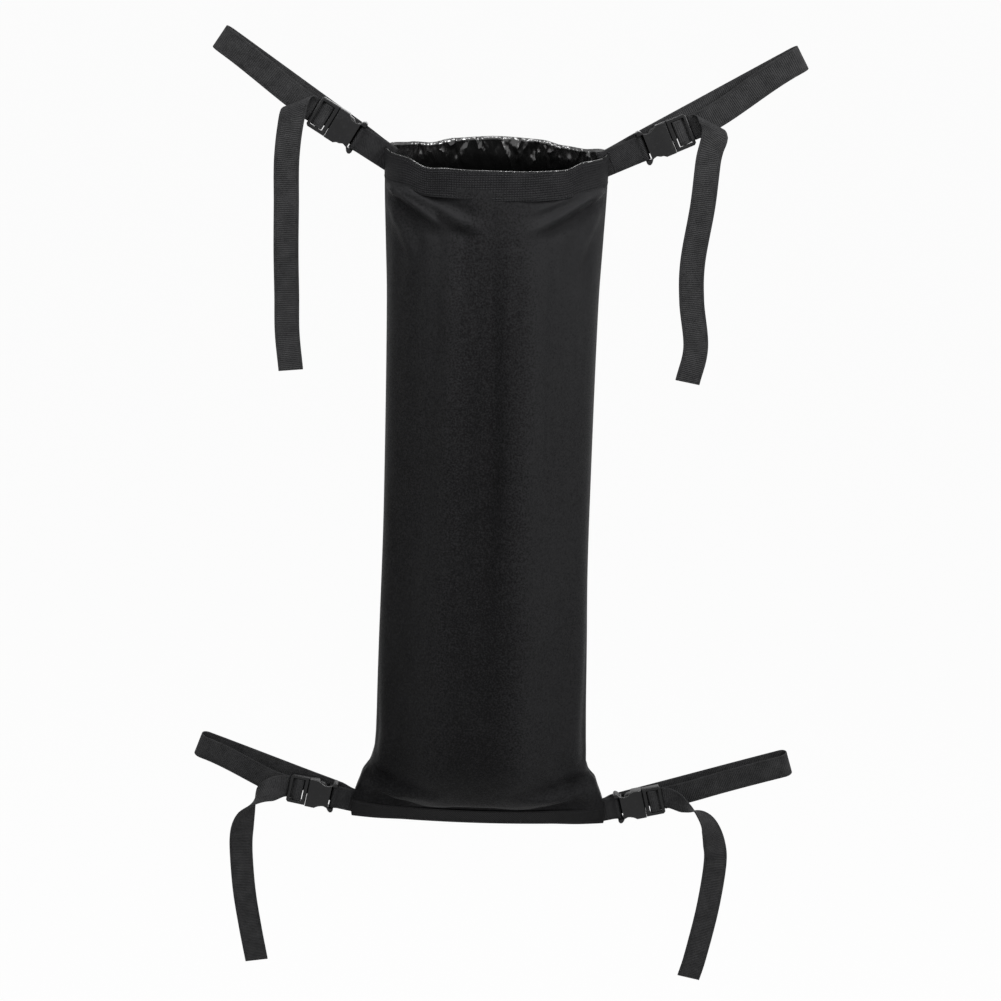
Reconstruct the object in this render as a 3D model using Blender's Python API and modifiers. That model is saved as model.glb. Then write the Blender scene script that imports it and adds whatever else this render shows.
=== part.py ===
"""Empty weight bag: a fabric tube that hangs by four adjustable webbing loops.

Metres, +Z up, -Y is the front. The origin is on the bag's axis at the height of the mouth's corners.
Each corner has a sewn tab, a side-release buckle and a long strap. The strap runs out behind the
buckle, turns round, comes back in front, threads the plug's ladder and ends in a hanging tail.
"""

import math

import bmesh
import bpy
from mathutils import Matrix, Vector

# Bag
BAG_HEIGHT = 0.727
MOUTH_WIDTH = 0.218
WAIST_WIDTH = 0.205
BELLY_WIDTH = 0.227
FLAT_WIDTH = 0.273
MOUTH_DEPTH = 0.124
BODY_DEPTH = 0.138
BELLY_DEPTH = 0.108
FRONT_SAG = 0.013
BACK_RISE = 0.005
CORNER_LIFT = 0.005
FABRIC = 0.0012
PANEL_COLUMNS = 20
MOUTH_BAND = 0.030
BOTTOM_BAND = 0.020

# Where the straps are sewn in: below the mouth's corners, and above the bottom edge
UPPER_DROP = 0.010
LEFT_RISE = 0.0205
RIGHT_RISE = 0.0185

# Webbing
WEB_WIDTH = 0.025
WEB = 0.0014
TAB = 2 * WEB
GAP = 0.0003
STACK = TAB + WEB + 3 * GAP
STRAP_INSET = 0.010
TAB_INSET = 0.011
LOOP_SPREAD = 0.0022
BACK_CLEAR = 0.0004
FOLD_RADIUS = 0.0075
TAIL_FOLD_RADIUS = 0.0045
TAIL_LEAD = 0.001
TAIL_STEP = 0.010

# Buckle, measured outwards from the socket's bar end
SOCKET_LENGTH = 0.031
SOCKET_WIDTH = WEB_WIDTH + 0.008
SOCKET_THICK = 0.0105
SOCKET_WALL = 0.0016
SOCKET_CHEEK = 0.0013
EAR_WIDTH = SOCKET_WIDTH + 0.0026
BAR_RADIUS = 0.0019
SLOT_CLEAR = 0.0006
SLOT_END = 0.0064
CAVITY_START = 0.0086
LADDER_LENGTH = 0.0207
LADDER_THICK = 0.0072
LADDER_BLOCK = 0.0043
MIDDLE_BAR = 0.0032
MIDDLE_BAR_FLOOR = -0.0005
MIDDLE_BAR_TOP = 0.0018
MIDDLE_BAR_CLEAR = 0.0005
INNER_SLOT = 0.0042
OUTER_SLOT = 0.0058
END_BAR_FLOOR = 0.0010
GUIDE_WIDTH = 0.0050
GUIDE_THICK = 0.0032
GUIDE_TIP = 0.0140
PRONG_CLEAR = 0.00045
PRONG_THICK = SOCKET_THICK - 2 * (SOCKET_WALL + PRONG_CLEAR)
PRONG_PIVOT = 0.0306
PRONG_BEVEL = 0.0005
PRONG_OUTER = SOCKET_WIDTH / 2 - SOCKET_CHEEK - GAP
PRONG_PIVOT_OFFSET = PRONG_OUTER - 0.0020

# Where each layer lies between the two panels at a corner, towards the front
BUCKLE_FRONT = (WEB + GAP) / 2
STRAP_FRONT = BUCKLE_FRONT - TAB / 2 - GAP - WEB / 2
STRAP_BEHIND_BUCKLE = BUCKLE_FRONT - SOCKET_THICK / 2 - GAP - WEB / 2 - BACK_CLEAR
LOOP_BACK = STRAP_BEHIND_BUCKLE - LOOP_SPREAD
LADDER_START = SOCKET_LENGTH + GAP
LADDER_END = LADDER_START + LADDER_LENGTH
SLOT_HALF = WEB_WIDTH / 2 + SLOT_CLEAR

FRONT = Vector((0, -1, 0))

# One entry for each corner: the seam's height, the buckle's angle above level, the tab's length, and how
# far out and up the loop's end lies from the seam. A tail leaves the ladder along the buckle, and its
# route lists distance out, height and its rear edge's distance to the front from the seam, and the twist in
# degrees. An upper tail first turns over to the front along a slanting fold, and leaves that fold at its
# tail angle.
CORNERS = {
    "upper_left": dict(
        side=-1,
        anchor_z=-UPPER_DROP,
        tilt=31.0,
        tab=0.031,
        reach=(0.1632, 0.111),
        tail_angle=256.0,
        tail=(
            (0.0967, 0.0000, 0.0120, 0),
            (0.0972, -0.0500, 0.0135, 0),
            (0.0977, -0.0970, 0.0120, 0),
            (0.0972, -0.1400, 0.0105, 0),
            (0.0967, -0.1780, 0.0115, 0),
            (0.0927, -0.2160, 0.0145, 0),
        ),
    ),
    "upper_right": dict(
        side=1,
        anchor_z=-UPPER_DROP,
        tilt=24.5,
        tab=0.036,
        reach=(0.1852, 0.108),
        tail_angle=-76.0,
        tail=(
            (0.0982, 0.0060, 0.0120, 0),
            (0.0952, -0.0380, 0.0135, 0),
            (0.0888, -0.0940, 0.0115, 0),
            (0.0902, -0.1340, 0.0105, 0),
            (0.0967, -0.1800, 0.0125, 0),
            (0.0902, -0.2160, 0.0145, 0),
        ),
    ),
    "lower_left": dict(
        side=-1,
        anchor_z=-BAG_HEIGHT + LEFT_RISE,
        tilt=11.5,
        tab=0.020,
        reach=(0.1683, 0.0625),
        tail=(
            (0.0913, 0.0135, 0.0030, 40),
            (0.1038, 0.0055, 0.0035, 85),
            (0.1143, -0.0095, 0.0064, 130),
            (0.1198, -0.0315, 0.0103, 165),
            (0.1213, -0.0575, 0.0120, 180),
            (0.1183, -0.1045, 0.0125, 180),
            (0.1123, -0.1495, 0.0115, 180),
            (0.1053, -0.1925, 0.0105, 180),
        ),
    ),
    "lower_right": dict(
        side=1,
        anchor_z=-BAG_HEIGHT + RIGHT_RISE,
        tilt=14.0,
        tab=0.015,
        reach=(0.1989, 0.0635),
        tail=(
            (0.0889, 0.0125, 0.0030, 40),
            (0.1019, 0.0065, 0.0035, 85),
            (0.1139, -0.0065, 0.0064, 130),
            (0.1219, -0.0285, 0.0103, 165),
            (0.1249, -0.0545, 0.0120, 180),
            (0.1199, -0.1085, 0.0125, 180),
            (0.1099, -0.1685, 0.0115, 180),
            (0.1039, -0.1955, 0.0105, 180),
        ),
    ),
}

# The bag's outline: share of the height from the mouth down, half width, half depth
OUTLINE = (
    (0.00, MOUTH_WIDTH / 2, MOUTH_DEPTH / 2),
    (0.07, MOUTH_WIDTH / 2 - 0.001, MOUTH_DEPTH / 2 + 0.003),
    (0.20, WAIST_WIDTH / 2, BODY_DEPTH / 2),
    (0.50, WAIST_WIDTH / 2 + 0.001, BODY_DEPTH / 2),
    (0.72, BELLY_WIDTH / 2 - 0.005, BODY_DEPTH / 2 - 0.007),
    (0.86, BELLY_WIDTH / 2, BELLY_DEPTH / 2),
    (0.93, FLAT_WIDTH / 2 - 0.010, BELLY_DEPTH / 2 - 0.020),
    (0.97, FLAT_WIDTH / 2 - 0.002, BELLY_DEPTH / 2 - 0.041),
    (1.00, FLAT_WIDTH / 2, 0.0),
)


def clear_scene():
    for item in list(bpy.data.objects):
        bpy.data.objects.remove(item, do_unlink=True)


def new_collection(name):
    group = bpy.data.collections.new(name)
    bpy.context.scene.collection.children.link(group)
    return group


def material(name, colour, roughness, metallic=0.0):
    made = bpy.data.materials.new(name)
    made.use_nodes = True
    shader = made.node_tree.nodes["Principled BSDF"]
    shader.inputs["Base Color"].default_value = (*colour, 1.0)
    shader.inputs["Roughness"].default_value = roughness
    shader.inputs["Metallic"].default_value = metallic
    return made


def smooth(value):
    value = min(max(value, 0.0), 1.0)
    return value * value * (3 - 2 * value)


def outline_at(share):
    """Half width and half depth on a smooth curve through the outline's rows."""
    last = len(OUTLINE) - 2
    row = max(i for i in range(last + 1) if OUTLINE[i][0] <= share or i == 0)
    start, end = OUTLINE[row], OUTLINE[row + 1]
    span = end[0] - start[0]
    part = (share - start[0]) / span
    result = []
    for column in (1, 2):
        slopes = []
        for near in (row, row + 1):
            low = OUTLINE[max(near - 1, 0)]
            high = OUTLINE[min(near + 1, last + 1)]
            slopes.append((high[column] - low[column]) / (high[0] - low[0]) * span)
        rise = end[column] - start[column]
        cubic = slopes[0] + slopes[1] - 2 * rise
        square = 3 * rise - 2 * slopes[0] - slopes[1]
        result.append(start[column] + part * (slopes[0] + part * (square + part * cubic)))
    return result


def anchor_point(corner):
    """The place on the side seam where a corner's tab and strap are sewn in."""
    half_width = outline_at(-corner["anchor_z"] / BAG_HEIGHT)[0]
    return Vector((corner["side"] * half_width, 0.0, corner["anchor_z"]))


def seam_opening(x, z):
    """Half the distance between the panels' inner faces at their edge."""
    nearest = min((Vector((x, 0, z)) - anchor_point(corner)).length for corner in CORNERS.values())
    held_open = 1 - smooth((nearest - 0.024) / 0.036)
    return GAP / 2 + (STACK - GAP) / 2 * held_open


def panel_point(turn, share, side):
    """A point on a panel's middle surface: turn 0 to 1 runs from the left seam to the right seam."""
    angle = math.pi * turn
    half_width, half_depth = outline_at(share)
    x = -half_width * math.cos(angle)
    rim = -FRONT_SAG if side < 0 else BACK_RISE
    bulge = math.sin(angle)
    z = -share * BAG_HEIGHT + rim * bulge * (1 - share) ** 3
    z += CORNER_LIFT * (1 - bulge * bulge) * share ** 3
    pointed = 1 + 0.25 * (1 - smooth(share / 0.15))
    depth = seam_opening(x, z) + FABRIC / 2 + half_depth * bulge ** pointed
    return Vector((x, side * depth, z))


def panel_normal(turn, share, side):
    step = 0.01
    turn_low, turn_high = max(turn - step, 0.0), min(turn + step, 1.0)
    low, high = max(share - step, 0.0), min(share + step, 1.0)
    along = panel_point(turn_high, share, side) - panel_point(turn_low, share, side)
    down = panel_point(turn, high, side) - panel_point(turn, low, side)
    normal = along.cross(down).normalized()
    return normal if normal.y * side > 0 or abs(normal.y) < 1e-6 else -normal


def finish(name, mesh, group, surface, frame=None):
    made = bpy.data.objects.new(name, mesh)
    if not mesh.materials:
        mesh.materials.append(surface)
    group.objects.link(made)
    if frame is not None:
        made.matrix_world = frame
    return made


def sheet(name, place, columns, rows, thickness, group, surface):
    """A grid laid on a surface by a function of two shares, given its thickness."""
    shape = bmesh.new()
    bmesh.ops.create_grid(shape, x_segments=columns, y_segments=rows, size=0.5)
    for vertex in shape.verts:
        vertex.co = place(vertex.co.x + 0.5, vertex.co.y + 0.5)
    mesh = bpy.data.meshes.new(name)
    shape.to_mesh(mesh)
    shape.free()
    mesh.shade_smooth()
    made = finish(name, mesh, group, surface)
    solid = made.modifiers.new("thickness", "SOLIDIFY")
    solid.thickness = thickness
    solid.offset = 0
    solid.use_even_offset = True
    return made


def ribbon(name, points, across, group, surface):
    """Webbing along a centre line, with a direction across it for each point."""
    last = len(points) - 1

    def place(turn, share):
        row = round(turn * last)
        return points[row] + across[row] * WEB_WIDTH * (share - 0.5)

    return sheet(name, place, last, 1, WEB, group, surface)


def panel_rows():
    """Heights of a panel's rows, as shares, with rows of their own under both bands."""
    top = MOUTH_BAND / BAG_HEIGHT
    bottom = 1 - BOTTOM_BAND / BAG_HEIGHT
    belly = 0.80
    rows = [0.0, top / 2]
    rows += [top + (belly - top) * step / 11 for step in range(11)]
    rows += [belly + (bottom - belly) * step / 7 for step in range(8)]
    rows += [(bottom + 1) / 2, 1.0]
    return rows


def build_panel(name, side, group, surface):
    rows = panel_rows()
    last = len(rows) - 1

    def place(turn, share):
        return panel_point(turn, rows[round(share * last)], side)

    return sheet(name, place, PANEL_COLUMNS, last, FABRIC, group, surface)


def build_band(name, side, rows, gap, group, surface):
    """Webbing sewn flat on the outside of a panel, over a few of its rows."""
    stand_off = FABRIC / 2 + gap + WEB / 2
    last = len(rows) - 1

    def place(turn, share):
        height = rows[round(share * last)]
        return panel_point(turn, height, side) + panel_normal(turn, height, side) * stand_off

    return sheet(name, place, PANEL_COLUMNS, last, WEB, group, surface)


def outline_mesh(name, outlines, thickness, bevel=0.0):
    """A flat outline, with holes, filled and given its thickness as a mesh."""
    curve = bpy.data.curves.new(name, "CURVE")
    curve.dimensions = "2D"
    curve.fill_mode = "BOTH"
    curve.extrude = thickness / 2
    for outline in outlines:
        line = curve.splines.new("POLY")
        line.points.add(len(outline) - 1)
        for point, (x, y) in zip(line.points, outline):
            point.co = (x, y, 0, 1)
        line.use_cyclic_u = True
    drawn = bpy.data.objects.new(name, curve)
    bpy.context.scene.collection.objects.link(drawn)
    drawn_now = drawn.evaluated_get(bpy.context.evaluated_depsgraph_get())
    mesh = bpy.data.meshes.new_from_object(drawn_now)
    bpy.data.objects.remove(drawn)
    shape = bmesh.new()
    shape.from_mesh(mesh)
    bmesh.ops.remove_doubles(shape, verts=shape.verts, dist=0.000001)
    bmesh.ops.dissolve_limit(shape, angle_limit=0.001, verts=shape.verts, edges=shape.edges)
    if bevel:
        rims = [edge for edge in shape.edges if abs(edge.verts[0].co.z - edge.verts[1].co.z) < 1e-7]
        bmesh.ops.bevel(shape, geom=rims, offset=bevel, segments=1, affect="EDGES")
    bmesh.ops.recalc_face_normals(shape, faces=shape.faces)
    shape.to_mesh(mesh)
    shape.free()
    return mesh


def box_mesh(name, low, high):
    shape = bmesh.new()
    bmesh.ops.create_cube(shape, size=1.0)
    for vertex in shape.verts:
        vertex.co = Vector(a + (b - a) * (c + 0.5) for a, b, c in zip(low, high, vertex.co))
    mesh = bpy.data.meshes.new(name)
    shape.to_mesh(mesh)
    shape.free()
    return mesh


def bar_mesh(name, radius, length, centre, sides=16):
    """A round bar that lies across the webbing."""
    shape = bmesh.new()
    across = Matrix.Translation(centre) @ Matrix.Rotation(math.pi / 2, 4, "X")
    bmesh.ops.create_cone(
        shape, cap_ends=True, segments=sides, radius1=radius, radius2=radius, depth=length, matrix=across
    )
    mesh = bpy.data.meshes.new(name)
    shape.to_mesh(mesh)
    shape.free()
    return mesh


def combine(name, base, steps):
    """A base mesh with others cut from it or joined to it, in order."""
    group = bpy.context.scene.collection
    made = bpy.data.objects.new(name, base)
    group.objects.link(made)
    tools = []
    for operation, mesh in steps:
        tool = bpy.data.objects.new(mesh.name, mesh)
        group.objects.link(tool)
        tool.hide_render = True
        tool.display_type = "WIRE"
        tools.append(tool)
        boolean = made.modifiers.new(mesh.name, "BOOLEAN")
        boolean.operation = operation
        boolean.solver = "EXACT"
        boolean.object = tool
    made_now = made.evaluated_get(bpy.context.evaluated_depsgraph_get())
    result = bpy.data.meshes.new_from_object(made_now)
    for item in [made, *tools]:
        bpy.data.objects.remove(item)
    result.name = name
    return result


def mirrored(half):
    """A closed outline from its upper half, listed outwards."""
    return [*half, *[(x, -y) for x, y in reversed(half)]]


def socket_mesh():
    half_width = SOCKET_WIDTH / 2
    ear = EAR_WIDTH / 2
    waist = half_width - 0.0043
    half = (
        (0.0, ear - 0.0026),
        (0.0010, ear - 0.0006),
        (0.0030, ear),
        (0.0050, ear - 0.0012),
        (0.0074, waist + 0.0012),
        (0.0110, waist),
        (0.0150, waist + 0.0006),
        (0.0184, waist + 0.0026),
        (0.0206, half_width),
        (SOCKET_LENGTH, half_width),
    )
    body = outline_mesh("socket_body", [mirrored(half)], SOCKET_THICK, 0.0007)
    deep = SOCKET_THICK
    slot = box_mesh("slot", (-0.002, -SLOT_HALF, -deep), (SLOT_END, SLOT_HALF, deep))
    cheek = half_width - SOCKET_CHEEK
    cavity_half = SOCKET_THICK / 2 - SOCKET_WALL
    cavity = box_mesh(
        "cavity", (CAVITY_START, -cheek, -cavity_half), (SOCKET_LENGTH + 0.002, cheek, cavity_half)
    )
    bar = bar_mesh("bar", BAR_RADIUS, 2 * SLOT_HALF + 0.0024, (BAR_RADIUS, 0, 0))
    return combine("socket", body, (("DIFFERENCE", slot), ("DIFFERENCE", cavity), ("UNION", bar)))


def plug_mesh():
    half_width = SOCKET_WIDTH / 2
    half = ((LADDER_START, half_width), (LADDER_END - 0.002, half_width), (LADDER_END, half_width - 0.002))
    body = outline_mesh("plug_body", [mirrored(half)], LADDER_THICK, 0.0007)
    block_end = LADDER_START + LADDER_BLOCK
    middle = block_end + INNER_SLOT
    end_bar = middle + MIDDLE_BAR + OUTER_SLOT
    deep = LADDER_THICK
    window = box_mesh("window", (block_end, -SLOT_HALF, -deep), (end_bar, SLOT_HALF, deep))
    under = box_mesh(
        "under_end_bar", (end_bar - 0.001, -SLOT_HALF, -deep), (LADDER_END + 0.001, SLOT_HALF, END_BAR_FLOOR)
    )
    bar = box_mesh(
        "middle_bar",
        (middle, -SLOT_HALF - 0.001, MIDDLE_BAR_FLOOR),
        (middle + MIDDLE_BAR, SLOT_HALF + 0.001, MIDDLE_BAR_TOP),
    )
    guide = box_mesh(
        "guide",
        (GUIDE_TIP, -GUIDE_WIDTH / 2, -GUIDE_THICK / 2),
        (LADDER_START + 0.002, GUIDE_WIDTH / 2, GUIDE_THICK / 2),
    )
    return combine(
        "plug", body, (("DIFFERENCE", window), ("DIFFERENCE", under), ("UNION", bar), ("UNION", guide))
    )


def prong_mesh(side):
    """One sprung arm, drawn round its pivot: a slim root, and a pad that shows in the side window."""
    root = LADDER_START - GAP
    outer = PRONG_OUTER
    outline = (
        (root, outer - 0.0035),
        (root, outer - 0.0006),
        (0.0212, outer - 0.0006),
        (0.0196, outer),
        (0.0150, outer - 0.0006),
        (0.0118, outer - 0.0024),
        (0.0102, outer - 0.0048),
        (0.0112, outer - 0.0061),
        (0.0136, outer - 0.0057),
        (0.0204, outer - 0.0033),
    )
    placed = [(x - PRONG_PIVOT, y - PRONG_PIVOT_OFFSET) for x, y in outline]
    mesh = outline_mesh("prong", [placed], PRONG_THICK, PRONG_BEVEL)
    if side < 0:
        mesh.transform(Matrix.Diagonal((1, -1, 1, 1)))
        mesh.flip_normals()
    return mesh


def tab_mesh(length):
    """Doubled webbing from the seam to the socket's bar, with an eye round the bar."""
    eye_inner = BAR_RADIUS + GAP
    eye_outer = eye_inner + WEB
    half = TAB / 2
    meet = math.asin(half / eye_outer)
    outer = [(-length - TAB_INSET, half)]
    turns = 14
    for step in range(turns + 1):
        angle = math.pi - meet - (2 * math.pi - 2 * meet) * step / turns
        outer.append((BAR_RADIUS + eye_outer * math.cos(angle), eye_outer * math.sin(angle)))
    outer.append((-length - TAB_INSET, -half))
    hole = []
    for step in range(16):
        angle = 2 * math.pi * step / 16
        hole.append((BAR_RADIUS + eye_inner * math.cos(angle), eye_inner * math.sin(angle)))
    mesh = outline_mesh("tab", [outer, hole], WEB_WIDTH)
    mesh.transform(Matrix.Rotation(math.pi / 2, 4, "X"))
    return mesh


def corner_frame(place, outward):
    """Local axes: X outwards along the buckle, Y across the webbing, Z to the front."""
    across = FRONT.cross(outward)
    turned = Matrix((outward, across, FRONT)).transposed().to_4x4()
    return Matrix.Translation(place) @ turned


def direction(degrees):
    return Vector((math.cos(math.radians(degrees)), 0, math.sin(math.radians(degrees))))


def buckle_frame(corner):
    angle = corner["tilt"] if corner["side"] > 0 else 180 - corner["tilt"]
    outward = direction(angle)
    place = anchor_point(corner) + outward * corner["tab"] + FRONT * BUCKLE_FRONT
    return corner_frame(place, outward), outward


def back_run(corner):
    """Centre line behind the buckle, from inside the seam to where the loop turns."""
    start = anchor_point(corner)
    out, up = corner["reach"]
    outward = Vector((corner["side"] * out, 0, up)).normalized()
    across = FRONT.cross(outward)
    reach = math.hypot(out, up) - FOLD_RADIUS - WEB / 2
    leave = WEB_WIDTH / 2 * abs(outward.z / outward.x) + 0.001
    clear = max(corner["tab"] - 0.001, leave + 0.007)
    stops = [-STRAP_INSET, 0.0, leave]
    stops += [leave + (clear - leave) * share for share in (0.25, 0.5, 0.75, 1.0)]
    stops += [clear + (reach - GAP - clear) * share for share in (0.25, 0.5, 0.75, 1.0)]
    points = []
    for stop in stops:
        front = STRAP_FRONT + (STRAP_BEHIND_BUCKLE - STRAP_FRONT) * smooth((stop - leave) / (clear - leave))
        front += (LOOP_BACK - STRAP_BEHIND_BUCKLE) * smooth((stop - clear) / (reach - clear))
        points.append(start + outward * stop + FRONT * front)
    return points, [across] * len(points), start, outward, reach


def bezier(first, first_handle, last_handle, last, share):
    rest = 1 - share
    return (
        first * rest ** 3
        + first_handle * 3 * rest * rest * share
        + last_handle * 3 * rest * share * share
        + last * share ** 3
    )


def ladder_profile():
    """Distance from the bar end and height of the webbing's middle, from under the end bar round
    the middle bar and out under the end bar again."""
    middle = LADDER_START + LADDER_BLOCK + INNER_SLOT
    loaded = END_BAR_FLOOR - 2 * GAP - 1.5 * WEB
    upper = MIDDLE_BAR_TOP + MIDDLE_BAR_CLEAR + WEB / 2
    radius = (upper - loaded) / 2
    turn_at = middle - 0.0004
    out_at = middle + MIDDLE_BAR + OUTER_SLOT
    points = [(out_at + 0.0030, loaded), (turn_at + 0.0040, loaded)]
    for step in range(9):
        angle = -math.pi / 2 - math.pi * step / 8
        points.append((turn_at + radius * math.cos(angle), loaded + radius + radius * math.sin(angle)))
    leave = middle + MIDDLE_BAR - 0.0008
    arrive = out_at - 0.0006
    exit_height = END_BAR_FLOOR - GAP - WEB / 2
    for step in range(7):
        share = step / 6
        height = upper + (exit_height - upper) * smooth(share)
        points.append((leave + (arrive - leave) * share, height))
    points.append((LADDER_END + 0.0004, exit_height))
    return points


def front_run(corner):
    """The loop's turn, the run in front, and the way through the ladder."""
    _, _, start, outward, reach = back_run(corner)
    frame, buckle_out = buckle_frame(corner)
    across = FRONT.cross(outward)
    buckle_across = FRONT.cross(buckle_out)
    points, directions = [], []
    centre = LOOP_BACK + FOLD_RADIUS
    for step in range(11):
        angle = math.pi * step / 10
        along = reach + FOLD_RADIUS * math.sin(angle)
        front = centre - FOLD_RADIUS * math.cos(angle)
        points.append(start + outward * along + FRONT * front)
        directions.append(across)
    profile = ladder_profile()
    turn_end = points[-1].copy()
    ladder_mouth = frame @ Vector((profile[0][0] + 0.004, 0, profile[0][1]))
    pull = (turn_end - ladder_mouth).length / 3
    first_handle = turn_end - outward * pull
    last_handle = ladder_mouth + buckle_out * pull
    run_steps = 12
    for step in range(1, run_steps + 1):
        share = step / run_steps
        here = bezier(turn_end, first_handle, last_handle, ladder_mouth, share)
        ahead = bezier(turn_end, first_handle, last_handle, ladder_mouth, share + 0.01)
        travel = here - ahead
        travel.y = 0
        here.y = turn_end.y + (ladder_mouth.y - turn_end.y) * smooth(share / 0.7)
        points.append(here)
        directions.append(FRONT.cross(travel.normalized()))
    for along, height in profile:
        points.append(frame @ Vector((along, 0, height)))
        directions.append(buckle_across)
    return points, directions


def slanting_fold(start, outward, down, sign):
    """Webbing turned over to the front round a slanting line: its rows lie along that line."""
    axis = (outward + down).normalized()
    over = (outward - down).normalized()
    along_axis = outward.dot(axis)
    round_axis = outward.dot(over)
    lead = WEB_WIDTH / 2 * along_axis / round_axis + TAIL_LEAD
    points, rows = [start], [FRONT.cross(outward)]
    turn_start = start + outward * lead
    for step in range(9):
        angle = math.pi * step / 8
        place = axis * (along_axis / round_axis * TAIL_FOLD_RADIUS * angle)
        place += over * (TAIL_FOLD_RADIUS * math.sin(angle))
        place += FRONT * (TAIL_FOLD_RADIUS * (1 - math.cos(angle)))
        points.append(turn_start + place)
        rows.append(axis * (sign / round_axis))
    return points, rows


def tail_run(corner):
    """From the ladder's mouth, over its turn or twist, then down the route."""
    frame, outward = buckle_frame(corner)
    along, height = ladder_profile()[-1]
    start = frame @ Vector((along + GAP, 0, height))
    seam = anchor_point(corner)
    route = []
    for out, up, front, degrees in corner["tail"]:
        twist = math.radians(degrees)
        front += WEB_WIDTH / 2 * math.sin(twist)
        route.append((seam + Vector((corner["side"] * out, -front, up)), twist))
    if "tail_angle" in corner:
        down = direction(corner["tail_angle"])
        sign = -corner["side"]
        points, rows = slanting_fold(start, outward, down, sign)
        route.insert(0, (points[-1], 0.0))
        leaving, facing = down, -1.0
    else:
        points, rows = [start], [FRONT.cross(outward)]
        lead = start + outward * TAIL_LEAD
        points.append(lead)
        rows.append(rows[0])
        route.insert(0, (lead, 0.0))
        leaving, facing = outward, 1.0
    tangents = [leaving * (route[1][0] - route[0][0]).length]
    for index in range(1, len(route) - 1):
        tangents.append((route[index + 1][0] - route[index - 1][0]) / 2)
    tangents.append(route[-1][0] - route[-2][0])
    for index in range(len(route) - 1):
        (low, twist_low), (high, twist_high) = route[index], route[index + 1]
        low_handle = low + tangents[index] / 3
        high_handle = high - tangents[index + 1] / 3
        pieces = max(3, round((high - low).length / TAIL_STEP))
        for step in range(1, pieces + 1):
            share = step / pieces
            here = bezier(low, low_handle, high_handle, high, share)
            travel = here - bezier(low, low_handle, high_handle, high, share - 0.01)
            twist = twist_low + (twist_high - twist_low) * share
            flat = FRONT.cross(travel).normalized() * facing
            row = flat * math.cos(twist) + FRONT * math.sin(twist)
            travel.normalize()
            row -= travel * row.dot(travel)
            points.append(here)
            rows.append(row.normalized())
    return points, rows


def build_bag(group, fabric, webbing):
    build_panel("front_panel", -1, group, fabric)
    build_panel("back_panel", 1, group, fabric)
    rows = panel_rows()
    build_band("mouth_band_front", -1, rows[:3], GAP, group, webbing)
    build_band("mouth_band_back", 1, rows[:3], GAP, group, webbing)
    build_band("bottom_band", -1, rows[-3:], 3 * GAP, group, webbing)


def build_corner(name, corner, shapes, group, webbing, plastic):
    frame, _ = buckle_frame(corner)
    finish(name + "_tab", tab_mesh(corner["tab"]), group, webbing, frame)
    finish(name + "_socket", shapes["socket"], group, plastic, frame)
    plug = finish(name + "_plug", shapes["plug"], group, plastic, frame)
    for label, side in (("a", 1), ("b", -1)):
        pivot = Matrix.Translation((PRONG_PIVOT, side * PRONG_PIVOT_OFFSET, 0))
        prong = finish(name + "_prong_" + label, shapes["prong_" + label], group, plastic)
        prong.parent = plug
        prong.matrix_local = pivot
    points, directions, *_ = back_run(corner)
    ribbon(name + "_strap_back", points, directions, group, webbing)
    points, directions = front_run(corner)
    ribbon(name + "_strap_front", points, directions, group, webbing)
    points, directions = tail_run(corner)
    ribbon(name + "_tail", points, directions, group, webbing)


def build():
    clear_scene()
    group = new_collection("weight_bag")
    fabric = material("coated_fabric", (0.018, 0.018, 0.019), 0.62)
    webbing = material("webbing", (0.026, 0.026, 0.027), 0.75)
    plastic = material("buckle_plastic", (0.030, 0.030, 0.032), 0.42)
    build_bag(group, fabric, webbing)
    shapes = dict(
        socket=socket_mesh(),
        plug=plug_mesh(),
        prong_a=prong_mesh(1),
        prong_b=prong_mesh(-1),
    )
    for name, corner in CORNERS.items():
        build_corner(name, corner, shapes, group, webbing, plastic)


build()
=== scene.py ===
import math

import bmesh
import bpy
from mathutils import Matrix, Vector, noise


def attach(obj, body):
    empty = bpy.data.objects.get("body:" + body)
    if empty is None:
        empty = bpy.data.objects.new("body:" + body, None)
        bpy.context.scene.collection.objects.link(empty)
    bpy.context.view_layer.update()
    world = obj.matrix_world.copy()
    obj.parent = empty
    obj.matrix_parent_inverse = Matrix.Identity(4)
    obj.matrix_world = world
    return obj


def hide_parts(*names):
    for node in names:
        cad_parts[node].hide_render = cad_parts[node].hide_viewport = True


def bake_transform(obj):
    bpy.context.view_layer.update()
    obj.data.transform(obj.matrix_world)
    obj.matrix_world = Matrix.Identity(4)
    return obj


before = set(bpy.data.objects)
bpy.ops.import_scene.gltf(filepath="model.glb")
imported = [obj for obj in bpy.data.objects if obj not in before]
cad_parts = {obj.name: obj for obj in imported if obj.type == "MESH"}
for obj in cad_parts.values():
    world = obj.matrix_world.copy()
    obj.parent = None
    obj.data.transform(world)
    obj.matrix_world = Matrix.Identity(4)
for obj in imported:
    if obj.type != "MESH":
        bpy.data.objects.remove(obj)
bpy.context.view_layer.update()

# Bag, as the frame has it
BAG_HEIGHT = 0.727
MOUTH_HALF = 0.109
WAIST_HALF = 0.1025
BELLY_HALF = 0.1135
FLAT_HALF = 0.1365
MOUTH_DEEP = 0.062
BODY_DEEP = 0.069
BELLY_DEEP = 0.054
FRONT_SAG = 0.013
BACK_RISE = 0.005
CORNER_LIFT = 0.005
FABRIC = 0.0012
MOUTH_BAND = 0.030
BOTTOM_BAND = 0.020
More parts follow.
